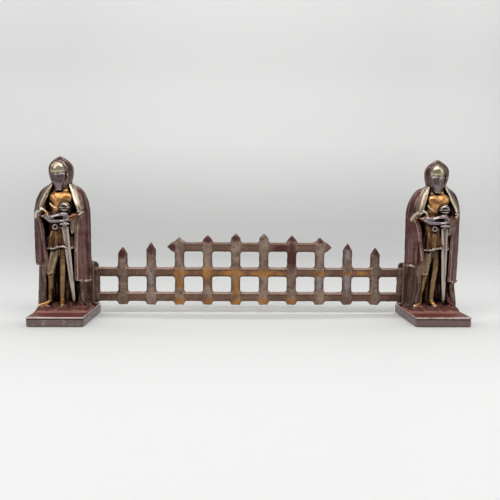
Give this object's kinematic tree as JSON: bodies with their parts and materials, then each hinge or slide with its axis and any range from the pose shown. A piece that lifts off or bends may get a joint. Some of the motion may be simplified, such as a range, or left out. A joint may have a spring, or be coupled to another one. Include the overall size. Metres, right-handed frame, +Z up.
{
  "type": "fireplace fire front",
  "caption": "Cast iron fire front with a knight fire dog at each end and a lift-out portcullis fret that drops into slotted posts between them.",
  "frame": {"origin": "middle of the bounding box on the floor, midway between the two dogs and midway through the plinths' depth", "axes": "+X to the viewer's right along the fret, +Y away from the viewer into the hearth, +Z up"},
  "size_m": [0.6129, 0.102, 0.233],
  "materials": {
    "fret_iron": "rough cast iron with worn grey-brown colour and rust stains",
    "plinth_maroon": "lustrous maroon colour over cast iron",
    "knight_gold": "lustrous gold brown over cast iron",
    "cloak_mauve": "lustrous mauve brown over cast iron",
    "helmet_silver": "lustrous silver lilac over cast iron",
    "screw_steel": "plain steel"
  },
  "bodies": {
    "fire_dogs": {"left_plinth": "plinth_maroon", "left_knight": "knight_gold", "left_cloak": "cloak_mauve", "left_helmet": "helmet_silver", "left_sword": "helmet_silver", "left_socket_post": "fret_iron", "left_body_screws": "screw_steel", "left_cloak_screws": "screw_steel", "left_post_screws": "screw_steel", "right_plinth": "plinth_maroon", "right_knight": "knight_gold", "right_cloak": "cloak_mauve", "right_helmet": "helmet_silver", "right_sword": "helmet_silver", "right_socket_post": "fret_iron", "right_body_screws": "screw_steel", "right_cloak_screws": "screw_steel", "right_post_screws": "screw_steel"},
    "fret": {"fret": "fret_iron"}
  },
  "joints": [
    {"name": "fret_lift", "type": "slide", "parent": "fire_dogs", "child": "fret", "axis": [0, 0, 1], "range_m": [0, 0.068]}
  ]
}
